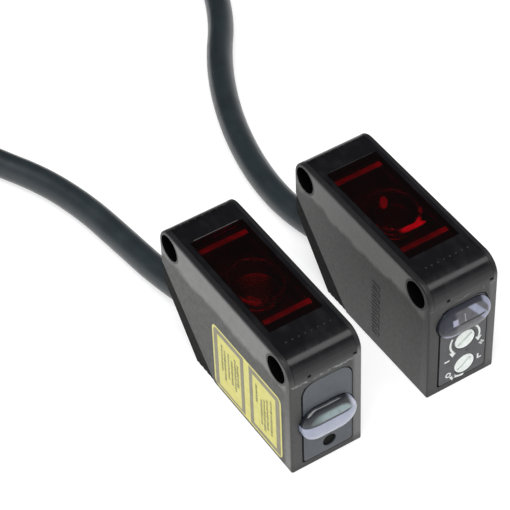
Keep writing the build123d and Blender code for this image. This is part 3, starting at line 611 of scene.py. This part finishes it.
# --- cables ------------------------------------------------------------------------------------------------
def hank_points(head):
    """Control points of the folded loops, from where the cable reaches the hank to where its sheath ends."""
    near = NEAR_SIDE[head]
    corner_r = FOLD_RADIUS / math.cos(math.pi / FOLD_STEPS / 2)
    climb = (0.15, 0.65, 0.98, 1.0)
    points = []

    def run(side, along, z):
        """One straight side: along are the places on it, in the order that the cable passes them."""
        for x in along:
            tied = abs(x) < TIE_WIDTH
            y = side * (FOLD_RADIUS - (TIE_PULL if tied else 0))
            points.append((HANK_X + x, HANK_Y[head] + y, z + (TIE_LIFT if tied else 0)))

    def fold(end, side, z, rises):
        """One half circle, from this side round the hank's end."""
        for i in range(FOLD_STEPS):
            angle = math.pi * (i + 0.5) / FOLD_STEPS
            points.append((HANK_X + end * (HALF_RUN + corner_r * math.sin(angle)),
                           HANK_Y[head] + side * corner_r * math.cos(angle), z + rises[i]))

    for layer in range(LAYERS):
        z = CABLE_RADIUS + layer * 2 * CABLE_RADIUS
        run(near, (9, 2.5, -2.5, -9), z)
        fold(-1, near, z, (0,) * FOLD_STEPS)
        if layer < LAYERS - 1:
            run(-near, (-9, -2.5, 2.5, 9), z)
            fold(1, -near, z, [2 * CABLE_RADIUS * share for share in climb])
        else:
            run(-near, (-9, -2.5, 2.5, SHEATH_END + 2), z)
    return points


def make_curve(name, points, radius, material, body, order=3):
    curve = bpy.data.curves.new(name, "CURVE")
    curve.dimensions = "3D"
    curve.bevel_depth = radius
    curve.bevel_resolution = 6
    curve.use_fill_caps = True
    spline = curve.splines.new("NURBS")
    spline.points.add(len(points) - 1)
    for point, place in zip(spline.points, points):
        point.co = (*(Vector(place) * MM), 1)
    spline.order_u = order
    spline.use_endpoint_u = True
    spline.resolution_u = 10
    curve.materials.append(material)
    piece = bpy.data.objects.new(name, curve)
    bpy.context.scene.collection.objects.link(piece)
    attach(piece, body)
    return piece


def make_wires(head, materials):
    """The bared, coloured wires beyond the sheath, with their tinned ends."""
    side = -NEAR_SIDE[head]
    colours = WIRE_COLOURS[head]
    start_x, y, z = HANK_X + SHEATH_END + 1.2, HANK_Y[head] + side * FOLD_RADIUS, CABLE_RADIUS * 5
    made = []
    for i, colour in enumerate(colours):
        spread = i - (len(colours) - 1) / 2
        route = [(start_x, y + spread * 1.15, z), (start_x + 3.5, y + spread * 1.2, z - 0.2),
                 (start_x + 8, y + spread * 1.5 + 0.2, z - 1.0), (start_x + 12, y + spread * 1.7, z - 1.42)]
        made.append(make_curve(f"{head}_wire_{colour}", route, 0.55 * MM, materials[colour], head))
        tip = [route[-1], (start_x + 13.5, y + spread * 1.75, z - 1.42),
               (start_x + 15, y + spread * 1.7, z - 1.4)]
        made.append(make_curve(f"{head}_wire_end_{colour}", tip, 0.3 * MM, materials["tinned"], head))
    return made


def make_tie(head, material):
    """The strap round the hank: up, over and down on rounded corners, with its loose end lying on top."""
    half_y, top, thick, corner = FOLD_RADIUS - TIE_PULL + CABLE_RADIUS + 0.5, 13.0, 0.5, 1.6
    outer = rounded((-half_y, half_y), (0.0, top), (corner,) * 4, 6)
    inner = rounded((-half_y + thick, half_y - thick), (thick, top - thick), (corner - thick,) * 4, 6)
    x0 = HANK_X - TIE_WIDTH / 2

    def placed(points):
        return [Vector((x0, HANK_Y[head] + y, z)) * MM for y, z in points]

    bm = bmesh.new()
    frame_prism(bm, placed(outer), placed(inner), Vector((TIE_WIDTH * MM, 0, 0)))
    tail = rounded((-half_y + 3, 4.0), (top - 0.05, top + 0.45), (0.2,) * 4, 2)
    prism(bm, placed(tail), Vector((TIE_WIDTH * MM, 0, 0)))
    piece = from_bmesh(f"{head}_tie", bm, material, head)
    bevel = piece.modifiers.new("edges", "BEVEL")
    bevel.width, bevel.segments, bevel.limit_method = 0.15 * MM, 2, "ANGLE"
    return piece


def make_cable(head, materials):
    route = ROUTES[head] + hank_points(head)
    cable = make_curve(f"{head}_flex", route, CABLE_RADIUS * MM, materials["cable"], head)
    tie = make_tie(head, materials["strap"])
    wires = make_wires(head, materials)
    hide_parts(f"{head}_cable", f"{head}_cable_hank")
    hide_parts(f"{head}_hank_tie")
    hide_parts(f"{head}_bare_wires")


# --- details of the heads ----------------------------------------------------------------------------------
def pill(centre, size, inset, steps=12):
    """Points round a slot shape in y and z, drawn this far inside its full size."""
    radius = size[1] / 2 - inset
    reach = (size[0] - size[1]) / 2
    right = [(centre[0] + reach + radius * math.cos(t), centre[1] + radius * math.sin(t))
             for t in (math.pi * (i / steps - 0.5) for i in range(steps + 1))]
    left = [(centre[0] - reach - radius * math.cos(t), centre[1] - radius * math.sin(t))
            for t in (math.pi * (i / steps - 0.5) for i in range(steps + 1))]
    return right + left


def make_indicator(head, material):
    """The indicator's lens: a slot-shaped dome that slopes back above a creased crest."""
    centre = (WIDTH / 2, INDICATOR_Z[head])
    size, proud = INDICATOR_SIZE[head][:2], INDICATOR_SIZE[head][2]
    half = size[1] / 2
    profile = [(0.0, -INDICATOR_SEAT), (0.0, 0.4 * proud)]
    for i in range(1, 17):
        t = i / 16
        profile.append((half * 0.97 * t**1.5, proud * (0.4 + 0.6 * math.sin(t * math.pi / 2) ** 0.7)))
    bm = bmesh.new()
    loops = []
    for inset, rise in profile:
        loop = []
        for y, z in pill(centre, size, inset):
            past = z - centre[1] - CREST[head]
            slope = 0.42 * proud / half * max(past, 0) + 0.08 * proud * max(1 - abs(past) / 0.3, 0)
            height = rise if rise < 0 else max(rise - slope, 0.1 * proud)
            loop.append(bm.verts.new(at(head, LENGTH + height, y, z)))
        loops.append(loop)
    for a, b in zip(loops, loops[1:]):
        for i in range(len(a)):
            j = (i + 1) % len(a)
            bm.faces.new((a[i], a[j], b[j], b[i]))
    bm.faces.new(loops[0][::-1])
    bm.faces.new(loops[-1])
    piece = from_bmesh(f"{head}_indicator", bm, material, head)
    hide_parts(f"{head}_indicator_lens")


def make_lens_ring(head, material):
    """The ring that holds the lens; the receiver's also has two small lumps on it, under two of its painted
    highlights.
    """
    bm = bmesh.new()
    rounds, around, thick = 64, 8, 0.32

    def section(i):
        angle = 2 * math.pi * i / rounds
        loop = []
        for k in range(around):
            turn = 2 * math.pi * k / around
            radius = RING_RADIUS + thick * math.cos(turn)
            loop.append(bm.verts.new(at(head, LENS_PLACE[0] + radius * math.cos(angle),
                                        LENS_PLACE[1] + RING_NARROWING * radius * math.sin(angle),
                                        RING_Z + 0.3 * math.sin(turn))))
        return loop

    loops = [section(i) for i in range(rounds)]
    for i in range(rounds):
        a, b = loops[i], loops[(i + 1) % rounds]
        for k in range(around):
            j = (k + 1) % around
            bm.faces.new((a[k], a[j], b[j], b[k]))
    if head == "receiver":
        for x, y, radii, turn in ((18.9, 5.9, (0.45, 2.1, 0.25), -4), (13.1, 5.4, (1.15, 0.55, 0.2), -34)):
            made = bmesh.ops.create_icosphere(bm, subdivisions=3, radius=MM)
            for vert in made["verts"]:
                vert.co = (Matrix.Rotation(math.radians(turn), 3, "Z") @ (vert.co * Vector(radii))
                           + at(head, x, y, RING_Z))
    ring = from_bmesh(f"{head}_lens_ring", bm, material, head)


def make_cover_marks(head, materials):
    """The rows of tiny moulded dots across the cover, and the raised line beside the window."""
    bm = bmesh.new()
    for x, start, end in ((1.9, 1.2, 8.9), (26.8, 2.3, 8.9)):
        past = max(CORNER_RADIUS - x, 0)
        top = DEPTH - CORNER_RADIUS + math.sqrt(CORNER_RADIUS**2 - past**2)
        for i in range(8):
            y = start + (end - start) * i / 7
            made = bmesh.ops.create_icosphere(bm, subdivisions=2, radius=0.16 * MM)
            for vert in made["verts"]:
                vert.co = at(head, x, y, top) + vert.co * Vector((1, 1, 0.25))
    dots = from_bmesh(f"{head}_cover_dots", bm, materials["cover_dot"], head)
    bm = bmesh.new()
    line = rounded((5.32, 5.42), (2.1, 8.9), (0.04,) * 4, 2)
    prism(bm, [at(head, x, y, DEPTH - 0.02) for x, y in line], Vector((0, 0, 0.04 * MM)))
    material = materials["cover_line" if head == "emitter" else "cover_dot"]
    edge = from_bmesh(f"{head}_window_line", bm, material, head)


# each printed row on the label: its x, and the heights between which it runs
LABEL_ROWS = [(14.7, 4.9, 9.9), (15.4, 3.6, 9.3), (16.3, 4.6, 9.6), (17.1, 4.2, 8.9), (17.9, 3.6, 9.8),
              (18.5, 5.0, 9.2), (23.0, 6.6, 9.9), (24.1, 3.2, 8.0), (24.8, 2.6, 8.6), (25.5, 3.4, 9.2),
              (26.4, 3.0, 9.9)]


def make_label(materials):
    """The printed label's grey frames and its rows of fine black marks."""
    lift = Vector((0, -PRINT_THICKNESS * MM, 0))
    bm = bmesh.new()
    panels = (((12.85, 20.0), (0.95, 12.05), (0, 0, 0, 0.7), (13.7, 19.2), (1.3, 11.2)),
              ((21.3, 28.45), (0.95, 12.05), (0, 0, 0.7, 0), (22.1, 27.5), (1.6, 11.2)))
    for outer_x, outer_z, radii, inner_x, inner_z in panels:
        outer = on_side("emitter", rounded(outer_x, outer_z, radii), 0.01)
        inner = on_side("emitter", rounded(inner_x, inner_z, (0.1,) * 4), 0.01)
        frame_prism(bm, outer, inner, lift)
    frames = from_bmesh("label_frames", bm, materials["label_grey"], "emitter", smooth=False)
    draw = random.Random(7)
    bm = bmesh.new()
    for x, low, high in LABEL_ROWS:
        z = low
        while z < high:
            stroke = draw.uniform(0.14, 0.42)
            width = draw.uniform(0.3, 0.5)
            mark = rounded((x - width / 2, x + width / 2), (z, min(z + stroke, high)), (0.02,) * 4, 1)
            prism(bm, on_side("emitter", mark, 0.0), lift)
            z += stroke + draw.uniform(0.1, 0.2)
    marks = from_bmesh("label_marks", bm, materials["label_ink"], "emitter", smooth=False)


def make_side_marks(material):
    """A column of small raised frames on the receiver's near side."""
    outward = Vector((0, -0.08 * MM, 0))
    bm = bmesh.new()
    count, foot, pitch, height = 8, 1.9, 1.27, 1.0
    for i in range(count):
        z = foot + pitch * i
        outer = on_side("receiver", rounded((18.1, 20.0), (z, z + height), (0.35,) * 4, 4), 0.02)
        inner = on_side("receiver", rounded((18.5, 19.6), (z + 0.32, z + 0.68), (0.15,) * 4, 4), 0.02)
        frame_prism(bm, outer, inner, outward)
    marks = from_bmesh("receiver_side_marks", bm, material, "receiver", smooth=False)


def make_adjuster_marks(materials):
    """The printed arcs and signs round the adjusters, and a black pointer mark by the sensitivity adjuster.
    """
    lift = Vector((PRINT_THICKNESS * MM, 0, 0))
    bm = bmesh.new()

    def stroke(points):
        prism(bm, on_end("receiver", points, LENGTH - 0.005), lift)

    sy, sz = SENSITIVITY
    arc_radius, arc_width = 2.35, 0.3
    stroke(band(SENSITIVITY, arc_radius, arc_width, 150, 222))
    stroke([(sy - 2.5, sz - 1.3), (sy - 1.4, sz - 1.75), (sy - 1.95, sz - 2.35)])
    stroke(band(SENSITIVITY, arc_radius, arc_width, -20, 52))
    stroke([(sy + 1.7, sz - 0.7), (sy + 2.75, sz - 0.75), (sy + 2.2, sz - 1.6)])
    stroke([(sy - 3.2, sz - 2.6), (sy - 2.4, sz - 2.6), (sy - 2.4, sz - 2.85), (sy - 3.2, sz - 2.85)])
    stroke([(sy + 2.35, sz - 2.05), (sy + 3.15, sz - 2.05), (sy + 3.15, sz - 2.3), (sy + 2.35, sz - 2.3)])
    stroke([(sy + 2.63, sz - 1.77), (sy + 2.87, sz - 1.77), (sy + 2.87, sz - 2.58), (sy + 2.63, sz - 2.58)])
    my, mz = MODE
    stroke(band((my - 2.6, mz - 0.75), 0.36, 0.2, 0, 350))
    stroke([(my + 2.05, mz - 0.3), (my + 2.3, mz - 0.3), (my + 2.3, mz + 0.6), (my + 2.05, mz + 0.6)])
    stroke([(my + 2.3, mz - 0.3), (my + 2.75, mz - 0.3), (my + 2.75, mz - 0.08), (my + 2.3, mz - 0.08)])
    stroke(band((my - 0.3, mz + 0.6), 2.55, 0.34, 232, 275))
    stroke([(my - 2.45, mz - 1.25), (my - 1.35, mz - 1.35), (my - 1.95, mz - 2.15)])
    marks = from_bmesh("adjuster_marks", bm, materials["white_ink"], "receiver", smooth=False)
    bm = bmesh.new()
    prism(bm, on_end("receiver", [(sy + 0.1, sz - 2.1), (sy + 0.9, sz - 2.1), (sy + 0.5, sz - 2.75)],
                     LENGTH - 0.005), lift)
    pointer = from_bmesh("adjuster_pointer", bm, materials["ink"], "receiver", smooth=False)


# --- the whole ---------------------------------------------------------------------------------------------
def dress(names, material):
    """Gives CAD nodes their material."""
    for name in names:
        mesh = NODES[name].data
        mesh.materials.clear()
        mesh.materials.append(material)


def both(*names):
    return [f"{head}_{name}" for head in HEADS for name in names]


def dress_nodes(materials):
    for head in HEADS:
        dress([f"{head}_case"], case_plastic(head))
        dress([f"{head}_lens_cover"], cover_plastic(head))
        dress([f"{head}_lens_holder"], holder_plastic(head, (0.24, 0.235, 0.23)))
    dress(both("rear_cover"), grained("rear_cover_plastic", (0.007, 0.007, 0.007), (0.012, 0.012, 0.011), 1.2,
                                      (0.6, 0.75), Specular_IOR_Level=0.06))
    dress(both("window"), red_filter())
    dress(both("cover_seal", "rear_seal", "cable_grommet"),
          grained("black_rubber", (0.012, 0.012, 0.013), (0.022, 0.022, 0.023), 0.8, (0.55, 0.7)))
    dress(["receiver_knob_seals"], grained("seal_rubber", (0.012, 0.012, 0.013), (0.02, 0.02, 0.02), 0.6))
    dress(both("lens"), clear_glass("lens_glass", (0.95, 0.97, 0.97)))
    dress(both("main_board", "display_board"), circuit_board())
    dress(both("board_components") + ["receiver_photodiode"],
          grained("chip_epoxy", (0.012, 0.012, 0.012), (0.02, 0.02, 0.02), 0.5))
    dress(both("indicator_leds"),
          grained("led_package", (0.7, 0.68, 0.5), (0.8, 0.78, 0.62), 0.4, (0.2, 0.3)))
    dress(both("cable_clamp"), metal("clamp_zinc", (0.55, 0.55, 0.56)))
    dress(["emitter_laser_diode", "receiver_shield"], metal("tin_plate", (0.7, 0.7, 0.69), (0.2, 0.35)))
    dress(["emitter_access_plug"], grained("plug_rubber", (0.003, 0.003, 0.003), (0.006, 0.006, 0.006), 0.6,
                                           (0.6, 0.75), Specular_IOR_Level=0.1))
    dress(["emitter_label"], materials["label_yellow"])
    dress(both("core_wires"), materials["brown"])
    dress(["receiver_sensitivity_trimmer", "receiver_mode_switch"],
          grained("switch_plastic", (0.02, 0.02, 0.024), (0.03, 0.03, 0.034), 0.8))
    dress(["receiver_sensitivity_knob", "receiver_mode_knob"], materials["white_pom"])
    dress(["emitter_display_panel"],
          panel_plastic("emitter_panel_plastic", (0.040, 0.047, 0.057), (0.052, 0.06, 0.07)))
    dress(["receiver_display_panel"],
          panel_plastic("receiver_panel_plastic", (0.032, 0.033, 0.037), (0.045, 0.045, 0.05)))


def make_materials():
    return {
        "cable": cable_pvc(),
        "strap": strap_weave(),
        "brown": grained("wire_brown", (0.12, 0.035, 0.015), (0.16, 0.05, 0.02), 1.0, (0.3, 0.4)),
        "black": grained("wire_black", (0.012, 0.012, 0.012), (0.02, 0.02, 0.02), 1.0, (0.3, 0.4)),
        "blue": grained("wire_blue", (0.01, 0.06, 0.3), (0.02, 0.09, 0.38), 1.0, (0.3, 0.4)),
        "tinned": metal("tinned_copper", (0.75, 0.73, 0.7)),
        "cover_dot": grained("cover_dot_plastic", (0.012, 0.012, 0.012), (0.022, 0.022, 0.022), 0.5,
                             Specular_IOR_Level=0.15),
        "cover_line": grained("cover_line_plastic", (0.05, 0.048, 0.045), (0.09, 0.087, 0.082), 0.5),
        "label_yellow": printed("label_yellow", (0.57, 0.53, 0.10), (0.65, 0.61, 0.15)),
        "label_grey": printed("label_grey", (0.16, 0.14, 0.08), (0.2, 0.18, 0.11)),
        "label_ink": printed("label_ink", (0.14, 0.13, 0.04), (0.24, 0.22, 0.07)),
        "side_mark": grained("side_mark_plastic", (0.009, 0.009, 0.009), (0.016, 0.016, 0.016), 0.8),
        "ink": printed("black_ink", (0.006, 0.006, 0.007), (0.012, 0.012, 0.013)),
        "white_ink": printed("white_ink", (0.6, 0.62, 0.61), (0.72, 0.74, 0.72)),
        "white_pom": grained("white_pom", (0.66, 0.7, 0.67), (0.76, 0.8, 0.77), 0.9, (0.3, 0.4), 0.1),
    }


make_camera()
make_world()
make_stage()
make_light("overhead", (0.2, -0.3, 0.9), (-0.02, 0, 0), (0.9, 0.9), 11)
make_light("right", (0.27, 0.28, 0.66), (0, 0, 0), (0.32, 0.32), 0.9)
materials = make_materials()
for head in HEADS:
    make_cable(head, materials)
    make_cover_marks(head, materials)
make_indicator("emitter", emitter_indicator_plastic())
make_indicator("receiver", receiver_indicator_plastic())
# the rings' pale places are painted highlights, bright on the receiver, faint on the emitter
make_lens_ring("emitter", lens_ring_plastic_and_glints("emitter", 0.16, [((17.6, 2.8), 1.8, 1.0)]))
make_lens_ring("receiver", lens_ring_plastic_and_glints("receiver", 0.95, [
    ((18.9, 5.9), 2.2, 1.0), ((17.3, 8.7), 0.8, 0.25), ((16.0, 2.0), 0.6, 0.2), ((13.1, 5.4), 1.6, 0.3)]))
make_label(materials)
make_adjuster_marks(materials)
make_side_marks(materials["side_mark"])
dress_nodes(materials)
bpy.context.scene.view_settings.view_transform = "Standard"
